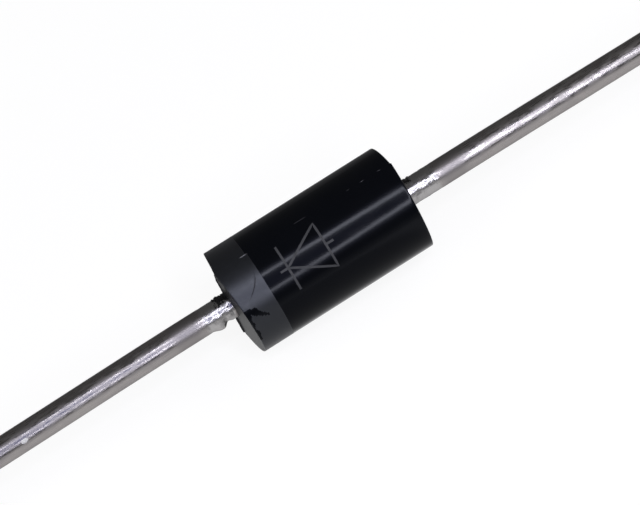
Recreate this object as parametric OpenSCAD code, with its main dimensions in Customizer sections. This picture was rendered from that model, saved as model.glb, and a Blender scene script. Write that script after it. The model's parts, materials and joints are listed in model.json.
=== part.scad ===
// Axial rectifier diode: a black moulded case with a bleached band round its
// cathode end, and a tinned wire lead out of each end.
// The leads run along X with the cathode towards -X. The origin is the centre of
// the case, on the leads' axis. Units are millimetres.

/* [Case] */
// Diameter of the moulded case
case_d = 5.3; // [4.8:0.1:5.6]
// Length of the case between the parting ridges of its two ends
case_l = 9.5; // [8.5:0.1:9.5]
// Draft of the ends, sloping back on each side of the parting plane, in degrees
end_draft = 4; // [3:0.5:7]
// Width of the cathode band, from the ridge of the cathode end
band_w = 1.7; // [1.2:0.1:2.2]
// Depth of the band's layer
band_t = 0.05; // [0.03:0.01:0.08]

/* [Leads] */
// Diameter of the tinned wire
lead_d = 1.3; // [1.2:0.01:1.35]
// Length of each lead outside the case
lead_l = 25.4; // [25:0.1:28]
// Chamfer on the cut tip of each lead
tip_chamfer = 0.1; // [0.05:0.01:0.2]
// Depth of the anchor collar behind the end of the case
collar_inset = 0.13; // [0.12:0.01:0.18]
// Diameter of the anchor collar
collar_d = 1.75; // [1.7:0.05:1.9]
// Length of the anchor collar
collar_l = 0.8; // [0.6:0.05:1]
// Diameter of the nail head on the inner end of each lead
head_d = 2.6; // [2.4:0.05:2.8]
// Thickness of the nail head
head_t = 0.5; // [0.4:0.05:0.6]
// Length of the cone that runs from the nail head down to the wire
neck_l = 0.55; // [0.4:0.05:0.7]

/* [Tin lump on the cathode lead] */
// Diameter of the lump
lump_d = 0.68; // [0.5:0.01:0.8]
// Height of the lump above the wire
lump_rise = 0.17; // [0.08:0.01:0.2]
// Distance from the end of the case to the middle of the lump
lump_gap = 0.83; // [0.6:0.01:3]
// Direction of the lump round the wire, in degrees from +Y towards +Z
lump_angle = 216; // [0:1:359]

/* [Junction] */
// Width of the square silicon die
die_w = 2.1; // [2:0.05:2.2]
// Thickness of the die
die_t = 0.28; // [0.24:0.01:0.32]
// Width of the step etched round the die's mesa
mesa_step = 0.1; // [0.05:0.01:0.15]
// Diameter of each solder joint between the die and a nail head
solder_d = 1.7; // [1.4:0.05:1.7]
// Thickness of each solder joint
solder_t = 0.06; // [0.04:0.01:0.1]
// Diameter of the silicone bead round the junction
coating_d = 3.6; // [3.4:0.05:3.8]
// Length of the silicone bead
coating_l = 1.9; // [1.7:0.05:2]

/* [Hidden] */
$fn = 96;

case_end = case_l / 2;                 // from the origin to a parting ridge
lead_end = case_end + lead_l;          // from the origin to the tip of a lead
band_edge = band_w - case_end;         // where the band meets the plain case
seat_d = case_d - 2 * band_t;          // diameter of the step that the band lies on
joint_in = die_t / 2;                  // inner face of a solder joint
head_in = joint_in + solder_t;         // inner face of a nail head
head_out = head_in + head_t;           // back of a nail head, where its neck starts
collar_out = case_end - collar_inset;  // outer face of an anchor collar
mesa_t = die_t * 0.4;                  // height of the die's mesa
over = 1;                              // how far a cutting shape runs past its target

// A round bar along X from x0 to x1. d1 gives it a second diameter at x1.
module bar(d, x0, x1, d1 = undef)
    translate([x0, 0, 0])
        rotate([0, 90, 0])
            cylinder(d1 = d, d2 = is_undef(d1) ? d : d1, h = x1 - x0);

// The space between the two drafted ends: a roof at each end, with its ridge
// standing along Z in the parting plane y = 0
module between_ends() {
    half = case_d / 2 + over;
    back = case_end - half * tan(end_draft);
    translate([0, 0, -half])
        linear_extrude(2 * half)
            polygon([[case_end, 0], [back, half], [-back, half],
                     [-case_end, 0], [-back, -half], [back, -half]]);
}

// The outer form of the case, stepped down by the band's depth round its cathode end
module case_form()
    intersection() {
        union() {
            bar(seat_d, -case_end - over, case_end);
            bar(case_d, band_edge, case_end + over);
        }
        between_ends();
    }

// One lead along +X: nail head, neck, wire, anchor collar and cut tip
module lead() {
    bar(head_d, head_in, head_out);
    bar(head_d, head_out, head_out + neck_l, lead_d);
    bar(lead_d, head_out, lead_end - tip_chamfer);
    bar(collar_d, collar_out - collar_l, collar_out);
    bar(lead_d, lead_end - tip_chamfer, lead_end, lead_d - 2 * tip_chamfer);
}

// The solder joint on the +X side of the die
module solder() bar(solder_d, joint_in, head_in);

// The die, with its mesa towards the anode
module die() {
    translate([-die_t / 2, -die_w / 2, -die_w / 2])
        cube([die_t - mesa_t, die_w, die_w]);
    mesa_w = die_w - 2 * mesa_step;
    translate([-die_t / 2, -mesa_w / 2, -mesa_w / 2])
        cube([die_t, mesa_w, mesa_w]);
}

// The outer form of the silicone bead
module bead()
    intersection() {
        sphere(d = coating_d);
        bar(coating_d + over, -coating_l / 2, coating_l / 2);
    }

module case()
    color([0.07, 0.07, 0.08])
        difference() {
            case_form();
            bead();
            lead();
            mirror([1, 0, 0]) lead();
        }

module cathode_band()
    color([0.24, 0.25, 0.3])
        intersection() {
            difference() {
                bar(case_d, -case_end - over, band_edge);
                bar(seat_d, -case_end - 2 * over, case_end);
            }
            between_ends();
        }

module cathode_lead()
    color([0.66, 0.65, 0.63]) {
        mirror([1, 0, 0]) lead();
        rotate([lump_angle, 0, 0])
            translate([-case_end - lump_gap, (lead_d - lump_d) / 2 + lump_rise, 0])
                sphere(d = lump_d);
    }

module anode_lead()
    color([0.66, 0.65, 0.63]) lead();

module silicon_die()
    color([0.35, 0.36, 0.4]) die();

module cathode_solder()
    color([0.6, 0.6, 0.58]) mirror([1, 0, 0]) solder();

module anode_solder()
    color([0.6, 0.6, 0.58]) solder();

module junction_coating()
    color([0.85, 0.86, 0.84])
        difference() {
            bead();
            die();
            for (side = [0, 1])
                mirror([side, 0, 0]) {
                    lead();
                    solder();
                }
        }

case();
cathode_band();
cathode_lead();
anode_lead();
silicon_die();
cathode_solder();
anode_solder();
junction_coating();
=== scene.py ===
"""Looks for an axial rectifier diode: a black moulded case with a bleached band and two tinned leads.

The leads run along X, the cathode is at -X, and the case's parting plane is y = 0. Lengths in this
script are millimetres until a mesh, light or camera is made, and angles round the leads' axis run
from +Y towards +Z.
"""

import json
import math

import bpy
from mathutils import Matrix, Vector, noise


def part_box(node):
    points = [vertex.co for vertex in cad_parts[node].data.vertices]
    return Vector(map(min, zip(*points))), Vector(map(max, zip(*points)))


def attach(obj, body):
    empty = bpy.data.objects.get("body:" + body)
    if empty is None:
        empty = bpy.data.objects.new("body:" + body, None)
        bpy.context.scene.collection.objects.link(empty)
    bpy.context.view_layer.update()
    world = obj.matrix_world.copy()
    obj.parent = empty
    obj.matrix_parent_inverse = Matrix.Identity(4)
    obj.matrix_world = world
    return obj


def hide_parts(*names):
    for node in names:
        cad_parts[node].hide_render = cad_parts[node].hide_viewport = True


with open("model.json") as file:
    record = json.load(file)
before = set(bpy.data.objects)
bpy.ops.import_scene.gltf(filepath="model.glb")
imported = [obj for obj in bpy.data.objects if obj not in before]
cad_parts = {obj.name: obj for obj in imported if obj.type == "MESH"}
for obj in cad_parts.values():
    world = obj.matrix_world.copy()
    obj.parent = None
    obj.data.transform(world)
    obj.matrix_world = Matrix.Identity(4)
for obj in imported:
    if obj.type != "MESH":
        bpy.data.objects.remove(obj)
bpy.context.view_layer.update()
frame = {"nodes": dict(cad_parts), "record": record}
MM = 0.001

# sizes that the frame gives
CASE_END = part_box("case")[1].x / MM
CASE_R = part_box("case")[1].z / MM
BAND_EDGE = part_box("cathode_band")[1].x / MM
HEAD_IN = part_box("anode_lead")[0].x / MM
HEAD_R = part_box("anode_lead")[1].y / MM
LEAD_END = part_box("anode_lead")[1].x / MM
BEAD_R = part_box("junction_coating")[1].y / MM
BEAD_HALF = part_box("junction_coating")[1].x / MM
LEAD_R = frame["record"]["mounts"][0]["dims"]["r_mm"]

# sizes that repeat the CAD source
BAND_T = 0.05
HEAD_OUT = HEAD_IN + 0.5
NECK_OUT = HEAD_OUT + 0.55
COLLAR_R = 0.875
COLLAR_OUT = CASE_END - 0.13
COLLAR_IN = COLLAR_OUT - 0.8
LUMP_ANGLE = math.radians(216)

# the case's skin lies this far inside the CAD surface, which leaves room for the flash
SKIN = 0.012
SKIN_R = CASE_R - SKIN
SEAT_R = CASE_R - BAND_T
RIM = 0.045
# the drafted ends reach this far back from the ridge
END_DEPTH = 0.36

# the mould halves differ a little: the draft in degrees and the inset of each end face, by (end of
# the case, side of the parting plane), and how far the band's edge moves on each side
END_FACES = {(1, 1): (3.6, 0.076), (1, -1): (3.2, 0.036), (-1, 1): (4.5, 0.028), (-1, -1): (4.9, 0.0)}
EDGE_STEP = {1: -0.025, -1: 0.05}

# the camera looks down on the parting plane at a slant, from slightly beyond the cathode's side
ELEVATION = math.radians(53.8)
TILT = math.radians(4.95)
ROLL = math.radians(32.25)
CAMERA_DISTANCE = 123.0
LENS = 151.0


# ---------------------------------------------------------------- small maths


def ease(x, lo, hi):
    """0 at lo, 1 at hi, and smooth between them. lo may be above hi."""
    t = min(1.0, max(0.0, (x - lo) / (hi - lo)))
    return t * t * (3 - 2 * t)


def window(x, lo, hi, soft):
    """1 between lo and hi, falling to 0 over soft outside them."""
    return ease(x, lo - soft, lo) * ease(x, hi + soft, hi)


def turn(a, b):
    """The smallest angle between two directions round the axis."""
    return abs((a - b + math.pi) % (2 * math.pi) - math.pi)


def hum(x, y=0.0, z=0.0):
    """Smooth noise from about -1 to 1."""
    return noise.noise(Vector((x, y, z)))


def polar(x, r, a):
    return Vector((x, r * math.cos(a), r * math.sin(a)))


def spread(lo, hi, count):
    """count + 1 even values from lo to hi."""
    return [lo + (hi - lo) * i / count for i in range(count + 1)]


# ---------------------------------------------------------------- meshes


def new_object(name, vertices, faces, mat, sharp=math.radians(40)):
    """A mesh object from vertices in millimetres."""
    mesh = bpy.data.meshes.new(name)
    mesh.from_pydata([v * MM for v in vertices], [], faces)
    mesh.validate()
    mesh.update()
    mesh.polygons.foreach_set("use_smooth", [True] * len(mesh.polygons))
    mesh.set_sharp_from_angle(angle=sharp)
    mesh.materials.append(mat)
    obj = bpy.data.objects.new(name, mesh)
    bpy.context.scene.collection.objects.link(obj)
    return obj


def grid_faces(rows, cols, wrap_rows=False, wrap_cols=False, start=0):
    """Quads over a grid of vertices listed row by row."""
    return [
        (
            start + i * cols + j,
            start + i * cols + (j + 1) % cols,
            start + (i + 1) % rows * cols + (j + 1) % cols,
            start + (i + 1) % rows * cols + j,
        )
        for i in range(rows if wrap_rows else rows - 1)
        for j in range(cols if wrap_cols else cols - 1)
    ]


def paint(obj, name, value):
    """Writes value(point in millimetres) as a number on each vertex, for a material to read."""
    mesh = obj.data
    layer = mesh.attributes.new(name, "FLOAT", "POINT")
    layer.data.foreach_set("value", [value(v.co / MM) for v in mesh.vertices])


def dress(obj, replaces=()):
    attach(obj, "root")
    if replaces:
        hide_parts(*replaces)
    return obj


# ---------------------------------------------------------------- materials


class Look:
    """A Principled material with short calls for the nodes that feed it."""

    def __init__(self, name, **constants):
        self.mat = bpy.data.materials.new(name)
        self.mat.use_nodes = True
        self.tree = self.mat.node_tree
        self.shader = self.tree.nodes["Principled BSDF"]
        for key, value in constants.items():
            self.shader.inputs[key.replace("_", " ")].default_value = value

    def node(self, kind, **settings):
        made = self.tree.nodes.new(kind)
        for key, value in settings.items():
            setattr(made, key, value)
        return made

    def link(self, out, to):
        self.tree.links.new(out, to)

    def feed(self, socket, out):
        self.link(out, self.shader.inputs[socket])

    def place(self, stretch=(1, 1, 1)):
        """Object coordinates in millimetres, squeezed by stretch."""
        coords = self.node("ShaderNodeTexCoord")
        mapping = self.node("ShaderNodeMapping")
        mapping.inputs["Scale"].default_value = [s / MM for s in stretch]
        self.link(coords.outputs["Object"], mapping.inputs["Vector"])
        return mapping.outputs["Vector"]

    def grain(self, per_mm, detail=3.0, rough=0.55, stretch=(1, 1, 1)):
        """Noise with about per_mm blobs in a millimetre."""
        tex = self.node("ShaderNodeTexNoise")
        tex.inputs["Scale"].default_value = per_mm
        tex.inputs["Detail"].default_value = detail
        tex.inputs["Roughness"].default_value = rough
        self.link(self.place(stretch), tex.inputs["Vector"])
        return tex.outputs["Fac"]

    def painted(self, name):
        return self.node("ShaderNodeAttribute", attribute_name=name).outputs["Fac"]

    def remap(self, out, lo, hi, to_lo, to_hi):
        made = self.node("ShaderNodeMapRange")
        for socket, value in zip(("From Min", "From Max", "To Min", "To Max"), (lo, hi, to_lo, to_hi)):
            made.inputs[socket].default_value = value
        self.link(out, made.inputs["Value"])
        return made.outputs["Result"]

    def maths(self, operation, a, b):
        made = self.node("ShaderNodeMath", operation=operation)
        for socket, value in zip(made.inputs, (a, b)):
            if isinstance(value, (int, float)):
                socket.default_value = value
            else:
                self.link(value, socket)
        return made.outputs["Value"]

    def mix(self, factor, a, b):
        """a where factor is 0 and b where it is 1."""
        made = self.node("ShaderNodeMix", data_type="FLOAT")
        self.link(factor, made.inputs["Factor"])
        for socket, value in ((made.inputs[2], a), (made.inputs[3], b)):
            if isinstance(value, (int, float)):
                socket.default_value = value
            else:
                self.link(value, socket)
        return made.outputs[0]

    def blend(self, factor, a, b):
        """Colour a where factor is 0 and b where it is 1."""
        made = self.node("ShaderNodeMix", data_type="RGBA")
        self.link(factor, made.inputs["Factor"])
        for socket, value in ((made.inputs[6], a), (made.inputs[7], b)):
            if isinstance(value, tuple):
                socket.default_value = (*value, 1.0)
            else:
                self.link(value, socket)
        return made.outputs[2]

    def relief(self, *layers):
        """Bump from (height output, depth in millimetres) layers."""
        normal = None
        for height, depth in layers:
            made = self.node("ShaderNodeBump")
            made.inputs["Distance"].default_value = depth * MM
            self.link(height, made.inputs["Height"])
            if normal:
                self.link(normal, made.inputs["Normal"])
            normal = made.outputs["Normal"]
        self.feed("Normal", normal)


# pale tone of the painted glints where the parting line catches the light
GLINT_TONE = (0.3, 0.3, 0.33)


def epoxy_look():
    """Glossy black moulding epoxy with faint flow marks, matter on its ends and painted a little lighter
    there for the light they catch, and with painted glints: pale where the parting line catches the light."""
    look = Look("moulded_epoxy", Specular_IOR_Level=0.1125)
    look.shader.inputs["Specular Tint"].default_value = (0.88, 0.91, 1.0, 1.0)
    tone = look.blend(look.grain(1.3), (0.0018, 0.0023, 0.0036), (0.003, 0.0034, 0.0047))
    # the ends are painted a little lighter, a painted highlight for the light their faces catch; the matter
    # roughness is their own
    tone = look.blend(look.painted("end"), tone, (0.012, 0.0125, 0.014))
    look.feed("Base Color", look.blend(look.painted("painted_glint"), tone, GLINT_TONE))
    streaks = look.grain(2.2, stretch=(0.25, 1, 1))
    sheen = look.remap(streaks, 0.3, 0.7, 0.12, 0.175)
    look.feed("Roughness", look.mix(look.painted("end"), sheen, 0.45))
    look.relief((look.grain(0.7, detail=1.0), 0.005), (look.grain(14), 0.0006))
    return look.mat


def band_look():
    """Matte blue-grey skin, with painted glints where the parting line catches the light."""
    look = Look("bleached_epoxy", Specular_IOR_Level=0.60)
    look.shader.inputs["Specular Tint"].default_value = (0.86, 0.9, 1.0, 1.0)
    mottle = look.blend(look.grain(2.4, detail=4.0), (0.0040, 0.0045, 0.0055), (0.0065, 0.0070, 0.0085))
    look.feed("Base Color", look.blend(look.painted("painted_glint"), mottle, GLINT_TONE))
    look.feed("Roughness", look.remap(look.grain(5), 0.3, 0.7, 0.36, 0.41))
    look.relief((look.grain(0.9, detail=1.0), 0.006), (look.grain(28), 0.0008))
    return look.mat


def mark_look(name, base):
    """A thin etched or rubbed line."""
    look = Look(name, Specular_IOR_Level=0.3)
    pale = tuple(1.5 * c for c in base)
    look.feed("Base Color", look.blend(look.grain(9), base, pale))
    look.feed("Roughness", look.remap(look.grain(6), 0.3, 0.7, 0.45, 0.65))
    look.relief((look.grain(30), 0.001))
    return look.mat


def tin_look():
    """Dull tin plate with bright drawn dashes. It is brighter where crinkle is painted, flat where
    dull is, and shows the copper core at the cut."""
    look = Look("tinned_copper", Metallic=1.0)
    look.shader.inputs["Specular Tint"].default_value = (0.55, 0.55, 0.55, 1.0)
    tone = look.blend(look.grain(0.9, detail=5.0), (0.260, 0.243, 0.248), (0.356, 0.336, 0.324))
    tone = look.blend(look.painted("dull"), tone, (0.262, 0.246, 0.246))
    tone = look.blend(look.painted("crinkle"), tone, (0.38, 0.37, 0.37))
    look.feed("Base Color", look.blend(look.painted("cut"), tone, (0.62, 0.30, 0.19)))
    drawn = look.grain(9, detail=2.0, stretch=(0.16, 1, 1))
    rough = look.remap(drawn, 0.42, 0.62, 0.40, 0.21)
    rough = look.mix(look.painted("crinkle"), rough, 0.27)
    look.feed("Roughness", look.mix(look.painted("dull"), rough, 0.42))
    look.relief((drawn, 0.0018), (look.grain(9, detail=4.0), 0.005), (look.grain(26), 0.0015))
    return look.mat


def resin_look():
    """Thin epoxy that bled out along the lead."""
    look = Look("bled_epoxy", Specular_IOR_Level=0.3)
    look.feed("Base Color", look.blend(look.grain(7), (0.004, 0.004, 0.005), (0.012, 0.011, 0.011)))
    look.feed("Roughness", look.remap(look.grain(10), 0.3, 0.7, 0.25, 0.5))
    look.relief((look.grain(11), 0.01))
    return look.mat


def plain_look(name, low, high, per_mm, rough, depth, **constants):
    """Two close tones, uneven roughness and a fine relief."""
    look = Look(name, **constants)
    look.feed("Base Color", look.blend(look.grain(per_mm), low, high))
    look.feed("Roughness", look.remap(look.grain(2 * per_mm), 0.3, 0.7, rough - 0.06, rough + 0.06))
    look.relief((look.grain(4 * per_mm), depth))
    return look.mat


# ---------------------------------------------------------------- the case and its band

COLUMN_STEP = math.radians(1.5)
FLASH_Y = 0.024

# (middle, half length, strength of the painted glint) of the places where the parting line catches the light
FLECKS = ((-3.21, 0.12, 0.7), (-0.2, 0.25, 0.08), (2.4, 0.01, 0.2), (3.14, 0.02, 0.4), (4.04, 0.01, 0.4))


def case_columns():
    """Places round the axis: (angle, None) in even steps, and (side of the parting plane's line,
    share of the flash's width) close to that line."""
    quarter = round(math.pi / 2 / COLUMN_STEP)
    columns = []
    for i in range(4 * quarter):
        if i == quarter:
            columns += [(1, share) for share in (1, 0.5, 0, -0.5, -1)]
        elif i == 3 * quarter:
            columns += [(-1, share) for share in (-1, -0.5, 0, 0.5, 1)]
        else:
            columns.append((i * COLUMN_STEP, None))
    return columns


def column_angle(column, r):
    """The column's angle at radius r. The flash keeps its width all the way in."""
    where, share = column
    if share is None:
        return where
    y = share * min(FLASH_Y, 0.7 * r * math.sin(COLUMN_STEP))
    return where * math.acos(y / r)


def flash_rise(column, p):
    """Height of the mould flash at point p on the parting line. Along the case it is a thread too
    low to see but for a few flecks, and round the cathode lead it stands proud, with chips."""
    share = column[1]
    if share is None or abs(share) == 1:
        return 0.0
    if abs(p.x) < CASE_END - 0.2:
        low = 0.002 + 0.01 * max(window(p.x, x - half, x + half, 0.04) for x, half, _ in FLECKS)
        return low * (1 - 0.35 * abs(share))
    ragged = 0.5 + 0.5 * hum(4.1 * p.x + 9, 4.1 * p.z)
    low = 0.003 + 0.009 * ease(ragged, 0.35, 0.7)
    cathode = ease(p.x, -CASE_END + 0.3, -CASE_END + 0.1)
    chips = ease(0.5 + 0.5 * hum(3 * p.z + 4, 1.7), 0.12, 0.4)
    proud = 0.085 * window(p.z, -2.35, -0.75, 0.08) * chips + 0.045 * window(p.z, 0.7, 2.4, 0.1) * chips
    return (low + cathode * proud) * (1 - 0.35 * abs(share))


def painted_glint(p):
    """1 on the parting line where it catches the light, for a painted glint."""
    if abs(p.y) > 0.7 * FLASH_Y or p.z < SEAT_R:
        return 0.0
    return max(window(p.x, x - half, x + half, 0.04) * level for x, half, level in FLECKS)


def half_of(y):
    """The side of the parting plane, 1 towards +Y and -1 towards -Y."""
    return 1 if y > 1e-6 else -1


def end_distance(side, r, a):
    """How far a drafted end face is from the origin at radius r and angle a."""
    y = r * math.cos(a)
    draft, inset = END_FACES[side, half_of(y)]
    return CASE_END - inset - abs(y) * math.tan(math.radians(draft))


def crust(side, p):
    """Ragged resin left on the cathode end, over the lead."""
    if side > 0 or p.z < LEAD_R:
        return 0.0
    patch = window(p.y, -0.85, 0.3, 0.15) * ease(hum(3 * p.y, 3 * p.z, 2), -0.35, 0.05)
    return patch * (0.012 + 0.014 * hum(14 * p.y, 14 * p.z))


def band_edge(a):
    """Where the band stops, which wanders a little round the case."""
    y, z = math.cos(a), math.sin(a)
    return BAND_EDGE + EDGE_STEP[half_of(y)] + 0.012 * hum(2 * y, 2 * z) + 0.006 * hum(9 * y, 9 * z, 5)


def on_end(column, side, r):
    a = column_angle(column, r)
    p = polar(side * end_distance(side, r, a), r, a)
    return p + Vector((side * (flash_rise(column, p) + crust(side, p)), 0, 0))


def on_side(column, x):
    a = column_angle(column, SKIN_R)
    return polar(x, SKIN_R + min(SKIN, flash_rise(column, polar(x, SKIN_R, a))), a)


def rim_points(column, side):
    """The rounded edge between a drafted end and the round side, from the end outwards."""
    points = []
    for t in spread(0, math.pi / 2, 4):
        r = SKIN_R - RIM + RIM * math.sin(t)
        a = column_angle(column, r)
        x = end_distance(side, SKIN_R - RIM, a) - RIM + RIM * math.cos(t)
        p = polar(side * x, r, a)
        points.append(p + Vector((side * flash_rise(column, p) * math.cos(t), 0, 0)))
    return points


def side_span(column):
    """The x of the two ends of the round side on this column."""
    r = SKIN_R - RIM
    a = column_angle(column, r)
    return tuple(side * (end_distance(side, r, a) - RIM) for side in (-1, 1))


def cavity_profile():
    """(distance from the origin, radius) along one half of the cavity, from the outside inwards."""
    neck_r = LEAD_R + (HEAD_R - LEAD_R) * (NECK_OUT - BEAD_HALF) / (NECK_OUT - HEAD_OUT)
    steps = [(COLLAR_OUT, LEAD_R), (COLLAR_OUT, COLLAR_R), (COLLAR_IN, COLLAR_R), (COLLAR_IN, LEAD_R)]
    steps += [(NECK_OUT, LEAD_R), (BEAD_HALF, neck_r)]
    steps += [(x, math.sqrt(BEAD_R**2 - x**2)) for x in spread(BEAD_HALF, 0, 8)]
    return steps


def on_end_face(p):
    """1 on the drafted ends and their rounded edges."""
    return float(abs(p.x) > CASE_END - END_DEPTH and math.hypot(p.y, p.z) < SKIN_R - 0.05 * RIM)


def make_case(mat):
    rows = []
    for column in case_columns():
        a = column_angle(column, CASE_R)
        edge, right = band_edge(a), side_span(column)[1]
        row = [on_end(column, -1, r) for r in spread(LEAD_R, SEAT_R, 40)]
        row += [polar(x, SEAT_R, a) for x in spread(row[-1].x, edge, 8)[1:]]
        row += [on_side(column, x) for x in spread(edge, right, 90)]
        row += list(reversed(rim_points(column, 1)))[1:]
        row += [on_end(column, 1, r) for r in spread(SKIN_R - RIM, LEAD_R, 26)[1:]]
        inner = cavity_profile()
        hole = column_angle(column, LEAD_R)
        row += [polar(x, r, hole) for x, r in inner]
        row += [polar(-x, r, hole) for x, r in reversed(inner[:-1])]
        rows.append(row)
    vertices = [p for row in rows for p in row]
    faces = grid_faces(len(rows), len(rows[0]), wrap_rows=True, wrap_cols=True)
    case = new_object("case_body", vertices, faces, mat)
    paint(case, "end", on_end_face)
    paint(case, "painted_glint", painted_glint)
    return dress(case, ["case"])


def make_band(mat, dark_patch_mat):
    """The band's layer, whose faces in a dark wedge and a margin along the rim take the case's own material.
    """
    rows = []
    for column in case_columns():
        a = column_angle(column, CASE_R)
        edge, left = band_edge(a), side_span(column)[0]
        row = [on_end(column, -1, SEAT_R)]
        row += rim_points(column, -1)
        row += [on_side(column, x) for x in spread(left, edge, 34)[1:]]
        row += [polar(x, SEAT_R, a) for x in spread(edge, row[0].x, 4)[:-1]]
        rows.append(row)
    vertices = [p for row in rows for p in row]
    faces = grid_faces(len(rows), len(rows[0]), wrap_rows=True, wrap_cols=True)
    band = new_object("band_skin", vertices, faces, mat)
    paint(band, "painted_glint", painted_glint)
    band.data.materials.append(dark_patch_mat)
    for face in band.data.polygons:
        face.material_index = int(dark_wedge(face.center / MM) > 0.5)
    return dress(band, ["cathode_band"])


def dark_wedge(p):
    """Above 0.5 where the band shows the case's dark epoxy: a wedge, and a ragged margin along the rim."""
    along = p.x + CASE_END
    across = math.degrees(math.atan2(p.z, p.y)) - 126
    wander = 2.5 * hum(4 * p.x, 4 * p.y, 4 * p.z)
    upper, lower = 14 + 28.7 * max(0.0, along - 0.67), 25.4 + 12.9 * (along - 0.81)
    wedge = ease(across + wander, upper - 1.5, upper + 1.5) * ease(across - wander, lower + 1.5, lower - 1.5)
    wedge *= ease(along, 0.3, 0.4)
    margin = ease(along + 0.04 * wander, 0.38, 0.33) * window(across, 16, 50, 6)
    return max(wedge, margin)


# ---------------------------------------------------------------- lines on the case


def ribbon(path, width, lift=0.003, wobble=0.12, closed=False, taper=False):
    """(vertices, faces) of a thin closed strip on the case. path holds (x, arc) pairs, where arc is
    the way round the case from the top of the parting plane towards -Y."""
    count = len(path)
    vertices, stride = [], 4
    for i, (x, arc) in enumerate(path):
        before = path[(i - 1) % count] if closed or i else path[0]
        after = path[(i + 1) % count] if closed or i < count - 1 else path[-1]
        way = Vector((after[0] - before[0], after[1] - before[1])).normalized()
        out = Vector((-way.y, way.x))
        half = width / 2 * (1 + wobble * hum(6 * x + 3, 6 * arc))
        if taper:
            half *= 0.15 + 0.85 * math.sin(math.pi * i / (count - 1))
        for shift, r in ((-half, -0.004), (-half, lift), (half, lift), (half, -0.004)):
            q = Vector((x, arc)) + out * shift
            vertices.append(polar(q.x, SKIN_R + r, math.pi / 2 + q.y / CASE_R))
    faces = grid_faces(count, stride, wrap_rows=closed, wrap_cols=True)
    if not closed:
        faces += [(3, 2, 1, 0), tuple(stride * (count - 1) + k for k in range(stride))]
    return vertices, faces


def join_parts(parts):
    vertices, faces = [], []
    for part_vertices, part_faces in parts:
        faces += [tuple(len(vertices) + k for k in face) for face in part_faces]
        vertices += part_vertices
    return vertices, faces


def line(start, end, count=14):
    """Points from start to end in (x, arc)."""
    reach = (end[0] - start[0], end[1] - start[1])
    return [(start[0] + reach[0] * t, start[1] + reach[1] * t) for t in spread(0, 1, count)]


def make_mark(mat):
    """The usual sign for a diode, etched in outline, with its bar on the band's side."""
    middle, height, tip, back = 1.66, 2.3, -1.8, 0.2
    stroke, tail = 0.11, 0.4
    top, bottom = middle - height / 2, middle + height / 2
    triangle = line((tip, middle), (back, top)) + line((back, top), (back, bottom))[1:]
    triangle += line((back, bottom), (tip, middle))[1:-1]
    strokes = [
        ribbon(triangle, stroke, closed=True),
        ribbon(line((tip, top), (tip, bottom)), stroke),
        ribbon(line((tip - tail, middle), (tip - stroke / 2, middle)), stroke),
        ribbon(line((back + stroke / 2, middle), (back + tail, middle)), stroke),
    ]
    mark = new_object("polarity_mark", *join_parts(strokes), mat)
    return dress(mark)


def make_scratch(mat):
    """A fine curved scratch across the band."""
    path = [(-3.2 - 0.87 * t**1.5, 0.9 + 1.1 * t**0.8) for t in spread(0, 1, 26)]
    return dress(new_object("band_scratch", *ribbon(path, 0.05, 0.0015, 0.3, taper=True), mat))


# ---------------------------------------------------------------- the leads

ROUND_STEPS = 80


def root_wear(x):
    """1 where the tin is crinkled next to the case."""
    reach = 1.6 if x < 0 else 1.75
    return window(abs(x) - CASE_END, 0.06, reach - 0.1, 0.06) * ease(abs(x) - CASE_END, reach, reach - 0.3)


def bow(x):
    """How far the lead's middle line is bent aside at x."""
    return Vector((0, -0.81, -0.59)) * (0.085 * ease(abs(x), 7, 19))


def lump_rise(out, a):
    """The tin lump below the cathode lead, out from the case: a slow rise, a steeper back and a dip."""
    round_it = math.exp(-((turn(a, LUMP_ANGLE) / math.radians(34)) ** 2))
    lump = 0.14 * ease(out, 1.34, 0.88) * ease(out, 0.44, 0.84)
    notch = -0.075 * window(out, 0.44, 0.5, 0.22)
    return round_it * (lump + notch)


def lead_radius(side, out, a):
    """Radius of a lead's skin, out from the end of the case."""
    x, y, z = side * (CASE_END + out), LEAD_R * math.cos(a), LEAD_R * math.sin(a)
    r = LEAD_R - 0.004 + 0.003 * hum(0.4 * x, y, z) + 0.0015 * hum(2.5 * x, 3 * y, 3 * z)
    crinkle = root_wear(x)
    if crinkle:
        folds = hum(4.5 * x, 5 * y, 5 * z) + 0.55 * hum(11 * x, 10 * y, 10 * z)
        r += crinkle * (0.014 * folds - 0.006)
    if side < 0:
        r += lump_rise(out, a)
    return r


def lead_stations(side):
    """(x, radius function of the angle) from the nail head to the cut tip."""
    inside = [(HEAD_IN, HEAD_R), (HEAD_OUT, HEAD_R), (NECK_OUT, LEAD_R), (COLLAR_IN, LEAD_R)]
    inside += [(COLLAR_IN, COLLAR_R), (COLLAR_OUT, COLLAR_R), (COLLAR_OUT, LEAD_R)]
    stations = [(side * x, lambda a, r=r: r) for x, r in inside]
    outs = spread(-0.1, 2.4, 62) + spread(2.5, LEAD_END - CASE_END - 0.12, 150)
    stations += [(side * (CASE_END + out), lambda a, out=out: lead_radius(side, out, a)) for out in outs]
    for t in spread(0, math.pi / 2, 4)[1:]:
        x = LEAD_END - 0.1 + 0.09 * math.sin(t)
        stations.append((side * x, lambda a, t=t: LEAD_R - 0.006 - 0.07 * (1 - math.cos(t))))
    stations.append((side * (LEAD_END - 0.002), lambda a: LEAD_R * 0.8))
    stations.append((side * (LEAD_END - 0.001), lambda a: LEAD_R * 0.35))
    return stations


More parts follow.
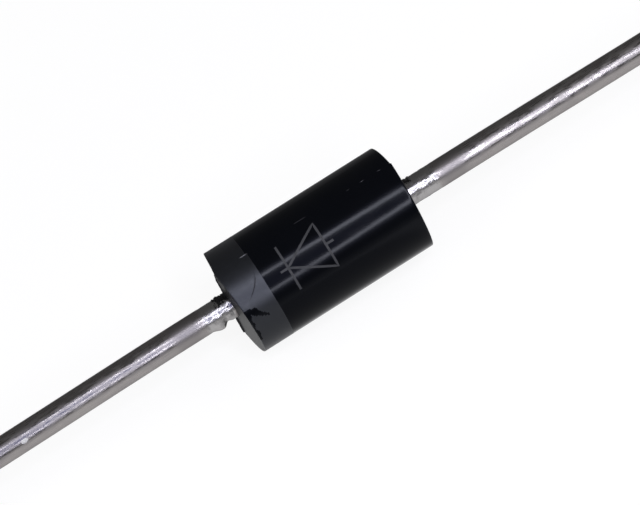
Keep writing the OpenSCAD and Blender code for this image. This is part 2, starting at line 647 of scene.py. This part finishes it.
def make_lead(name, node, side, mat):
    angles = [2 * math.pi * i / ROUND_STEPS for i in range(ROUND_STEPS)]
    stations = lead_stations(side)
    vertices = [polar(x, radius(a), a) + bow(x) for x, radius in stations for a in angles]
    faces = grid_faces(len(stations), ROUND_STEPS, wrap_cols=True)
    faces.append(tuple(range(ROUND_STEPS)))
    last = ROUND_STEPS * (len(stations) - 1)
    faces.append(tuple(last + i for i in reversed(range(ROUND_STEPS))))
    if side > 0:
        faces = [tuple(reversed(face)) for face in faces]
    lead = new_object(name, vertices, faces, mat)
    paint(lead, "crinkle", lambda p: root_wear(p.x) if abs(p.x) > CASE_END - 0.2 else 0.0)
    paint(lead, "dull", lambda p: window(abs(p.x) - CASE_END, 2.1, 2.8, 0.6))
    paint(lead, "cut", lambda p: ease(abs(p.x), LEAD_END - 0.05, LEAD_END - 0.01))
    return dress(lead, [node])


def make_bleed(name, side, middle, half_turn, length, mat):
    """A sleeve of bled epoxy that comes out of the wire in a ragged patch along one side, and lies
    inside the wire elsewhere."""
    rows, cols = 34, 120
    vertices = []
    for i in range(rows):
        out = -0.1 + (length + 0.1) * i / (rows - 1)
        for j in range(cols):
            a = 2 * math.pi * j / cols
            across = ((a - middle + math.pi) % (2 * math.pi) - math.pi) / half_turn
            coarse = hum(6 * out + 3, 2 * math.cos(a), 2 * math.sin(a) + side)
            fine = hum(17 * out, 6 * math.cos(a), 6 * math.sin(a))
            patch = 1 - max(max(0.0, out) / length, abs(across)) ** 2
            patch += (0.6 * coarse + fine) * ease(out, 0, 0.2)
            cover = ease(patch, 0.3, 0.45) * ease(out, length, length - 0.08)
            fin = 0.05 * window(out, 0.4, 0.44, 0.1) * window(across, -0.62, -0.52, 0.12) * (side < 0)
            r = LEAD_R - 0.1 + cover * (0.125 + 0.012 * fine) + fin
            vertices.append(polar(side * (CASE_END + out), r, a))
    inner = [polar(v.x, LEAD_R - 0.14, math.atan2(v.z, v.y)) for v in vertices]
    for i in reversed(range(rows)):
        vertices += inner[i * cols : (i + 1) * cols]
    faces = grid_faces(2 * rows, cols, wrap_rows=True, wrap_cols=True)
    return dress(new_object(name, vertices, faces, mat))


def make_speck(mat):
    """A fleck of white on the cathode lead."""
    x, a, rows, cols = -15.9, math.radians(141), 8, 20
    vertices = []
    for i in range(rows):
        t = math.pi * i / (rows - 1)
        for j in range(cols):
            s = 2 * math.pi * j / cols
            size = 1 + 0.25 * hum(2 * math.cos(s), 2 * math.sin(s), 3)
            flat = max(0.001, math.sin(t)) * size
            p_x, p_a = x + 0.18 * flat * math.cos(s), a + 0.17 * flat * math.sin(s)
            vertices.append(polar(p_x, LEAD_R + 0.02 * math.cos(t), p_a) + bow(x))
    faces = grid_faces(rows, cols, wrap_cols=True)
    faces += [tuple(reversed(range(cols))), tuple((rows - 1) * cols + j for j in range(cols))]
    return dress(new_object("white_speck", vertices, faces, mat))


# ---------------------------------------------------------------- stage, lights and camera


def sees_background(tree):
    """1 for the rays that see the background: camera, glossy and transmission rays."""
    path = tree.nodes.new("ShaderNodeLightPath")
    total = path.outputs["Is Camera Ray"]
    for name in ("Is Glossy Ray", "Is Transmission Ray"):
        add = tree.nodes.new("ShaderNodeMath")
        add.operation = "MAXIMUM"
        tree.links.new(total, add.inputs[0])
        tree.links.new(path.outputs[name], add.inputs[1])
        total = add.outputs["Value"]
    return total


# the floor's glow, and the share of it that reflections keep in front of the case, where a shadow is painted
# into the glow
FLOOR_GLOW = 0.89
FRONT_LEVEL = 0.46


def make_floor():
    """A wide white surface that the case lies on, with a glow only for the rays that see it. In reflections
    the glow carries a painted shadow: it fades behind the part, and is weaker in front of the case."""
    look = Look("white_floor", Roughness=0.9, Specular_IOR_Level=0.0)
    look.feed("Base Color", look.blend(look.grain(0.3), (0.15, 0.15, 0.15), (0.154, 0.154, 0.154)))
    look.shader.inputs["Emission Color"].default_value = (1, 1, 1, 1)
    split = look.node("ShaderNodeSeparateXYZ")
    look.link(look.place(), split.inputs["Vector"])
    x, y = split.outputs["X"], split.outputs["Y"]
    behind = look.remap(y, 0.3, 8, 1.0, 0.08)
    beside = look.remap(look.maths("ABSOLUTE", x, 0), 4.6, 5.8, 1, 0)
    shade = look.maths("MULTIPLY", look.remap(y, -1.2, -3, 0, 1), beside)
    seen = look.maths("MULTIPLY", behind, look.remap(shade, 0, 1, 1.0, FRONT_LEVEL))
    camera = look.node("ShaderNodeLightPath").outputs["Is Camera Ray"]
    glow = look.maths("MULTIPLY", look.maths("MAXIMUM", seen, camera), FLOOR_GLOW)
    look.feed("Emission Strength", look.maths("MULTIPLY", sees_background(look.tree), glow))
    reach, level = 2500.0, -CASE_R
    square = ((-reach, -reach), (reach, -reach), (reach, reach), (-reach, reach))
    corners = [Vector((x, y, level)) for x, y in square]
    floor = new_object("floor", corners, [(0, 1, 2, 3)], look.mat)
    return floor


def view_axes():
    """From the part to the camera, along the leads in the picture, and across them, towards the
    top of the picture."""
    back = Vector(
        (
            -math.sin(TILT),
            -math.cos(TILT) * math.cos(ELEVATION),
            math.cos(TILT) * math.sin(ELEVATION),
        )
    )
    along = Vector((1, 0, 0)) - back * back.x
    along.normalize()
    return back, along, back.cross(along)


def make_camera():
    back, along, across = view_axes()
    right = along * math.cos(ROLL) - across * math.sin(ROLL)
    up = along * math.sin(ROLL) + across * math.cos(ROLL)
    data = bpy.data.cameras.new("camera")
    data.lens = LENS
    data.sensor_width = 36.0
    data.clip_start, data.clip_end = 0.005, 20.0
    camera = bpy.data.objects.new("camera", data)
    target = right * 0.088 - up * 0.130
    axes = Matrix((right, up, back)).transposed().to_4x4()
    camera.matrix_world = Matrix.Translation((target + back * CAMERA_DISTANCE) * MM) @ axes
    bpy.context.scene.collection.objects.link(camera)
    bpy.context.scene.camera = camera


def lamp(name, place, aim, size, radiance, colour=(1, 1, 1), up=None):
    """A lamp at place, facing aim, that looks as bright as radiance says: a rectangle where size is
    a pair, and a disc where it is a diameter."""
    data = bpy.data.lights.new(name, "AREA")
    if isinstance(size, tuple):
        data.shape = "RECTANGLE"
        data.size, data.size_y = size[0] * MM, size[1] * MM
        area = data.size * data.size_y
    else:
        data.shape = "DISK"
        data.size = size * MM
        area = math.pi * data.size**2 / 4
    data.energy = radiance * math.pi * area
    data.color = colour
    made = bpy.data.objects.new(name, data)
    back = (place - aim).normalized()
    side = (up or Vector((0, 1, 0))).cross(back).normalized()
    axes = Matrix((side, back.cross(side), back)).transposed().to_4x4()
    made.matrix_world = Matrix.Translation(place * MM) @ axes
    made.visible_camera = False
    bpy.context.scene.collection.objects.link(made)


RING_R = 42.0
RING_WIDTH = 12.0
RING_LAMPS = 24
RING_RADIANCE = 14.5


def make_lights():
    """A ring lamp round the lens, which draws the two thin lines along the case and is brighter towards
    the anode, a faint blue disc inside it, and a soft box high up beyond each end."""
    back, along, across = view_axes()
    middle = back * CAMERA_DISTANCE + along * 4 - across * 3.5
    origin = Vector((0, 0, 0))
    length = 2 * math.pi * RING_R / RING_LAMPS
    for i in range(RING_LAMPS):
        t = 2 * math.pi * (i + 0.5) / RING_LAMPS
        out = along * math.cos(t) + across * math.sin(t)
        level = RING_RADIANCE * (0.62 + 0.75 * min(math.cos(t), 0.55) + 0.06 * math.sin(t))
        size = (length, RING_WIDTH)
        lamp(f"ring_lamp_{i:02d}", middle + out * RING_R, origin, size, level, (0.95, 0.95, 1.0), up=out)
    lamp("lens_glow", middle + back * 3, origin, 130.0, 0.62, (0.50, 0.54, 1.0))
    for side in (-1, 1):
        place = Vector((side * 300, 0, 260))
        lamp(f"soft_box_{side + 1}", place, origin, (220.0, 220.0), 2.2, (1.0, 0.98, 0.95))


def make_world():
    """White where the camera sees it. For the rest it is dim, with a pale strip low on the -Y side."""
    world = bpy.data.worlds.new("studio")
    world.use_nodes = True
    tree = world.node_tree
    coords = tree.nodes.new("ShaderNodeTexCoord")
    split = tree.nodes.new("ShaderNodeSeparateXYZ")
    tree.links.new(coords.outputs["Generated"], split.inputs["Vector"])

    def ramp(out, lo, hi, to_lo, to_hi):
        made = tree.nodes.new("ShaderNodeMapRange")
        made.interpolation_type = "SMOOTHSTEP"
        for socket, value in zip(("From Min", "From Max", "To Min", "To Max"), (lo, hi, to_lo, to_hi)):
            made.inputs[socket].default_value = value
        tree.links.new(out, made.inputs["Value"])
        return made.outputs["Result"]

    def maths(operation, a, b):
        made = tree.nodes.new("ShaderNodeMath")
        made.operation = operation
        for socket, value in zip(made.inputs, (a, b)):
            if isinstance(value, (int, float)):
                socket.default_value = value
            else:
                tree.links.new(value, socket)
        return made.outputs["Value"]

    low = ramp(split.outputs["Z"], 0.0, 0.27, 0.5, 0.0)
    front = ramp(split.outputs["Y"], -0.1, -0.6, 0.0, 1.0)
    studio = maths("ADD", maths("MULTIPLY", low, front), 0.12)
    camera = tree.nodes.new("ShaderNodeLightPath").outputs["Is Camera Ray"]
    tree.links.new(maths("MAXIMUM", studio, camera), tree.nodes["Background"].inputs["Strength"])
    tree.nodes["Background"].inputs["Color"].default_value = (1, 1, 1, 1)
    bpy.context.scene.world = world


# ---------------------------------------------------------------- putting it together


def dress_inside():
    """The pieces inside the case keep their CAD solids and take materials of their own."""
    looks = {
        "silicon_die": plain_look(
            "silicon", (0.06, 0.065, 0.08), (0.1, 0.105, 0.125), 3, 0.18, 0.0005, Metallic=0.6
        ),
        "junction_coating": plain_look(
            "silicone_bead", (0.62, 0.63, 0.6), (0.75, 0.76, 0.73), 1.5, 0.5, 0.004
        ),
    }
    solder = plain_look("solder", (0.33, 0.33, 0.32), (0.45, 0.45, 0.44), 4, 0.35, 0.003, Metallic=1.0)
    looks["cathode_solder"] = looks["anode_solder"] = solder
    for node, mat in looks.items():
        mesh = frame["nodes"][node].data
        mesh.materials.clear()
        mesh.materials.append(mat)


bpy.context.scene.view_settings.view_transform = "Standard"
make_world()
make_floor()
make_camera()
make_lights()

tin, resin = tin_look(), resin_look()
epoxy = epoxy_look()
make_case(epoxy)
make_band(band_look(), epoxy)
make_mark(mark_look("etched_line", (0.034, 0.035, 0.038)))
make_scratch(mark_look("scratch_line", (0.006, 0.006, 0.009)))
make_lead("cathode_wire", "cathode_lead", -1, tin)
make_lead("anode_wire", "anode_lead", 1, tin)
make_bleed("cathode_bleed", -1, math.radians(74), math.radians(38), 0.8, resin)
make_bleed("anode_bleed", 1, math.radians(62), math.radians(32), 0.62, resin)
make_speck(plain_look("white_fleck", (0.75, 0.74, 0.72), (0.85, 0.85, 0.84), 5, 0.6, 0.002))
dress_inside()
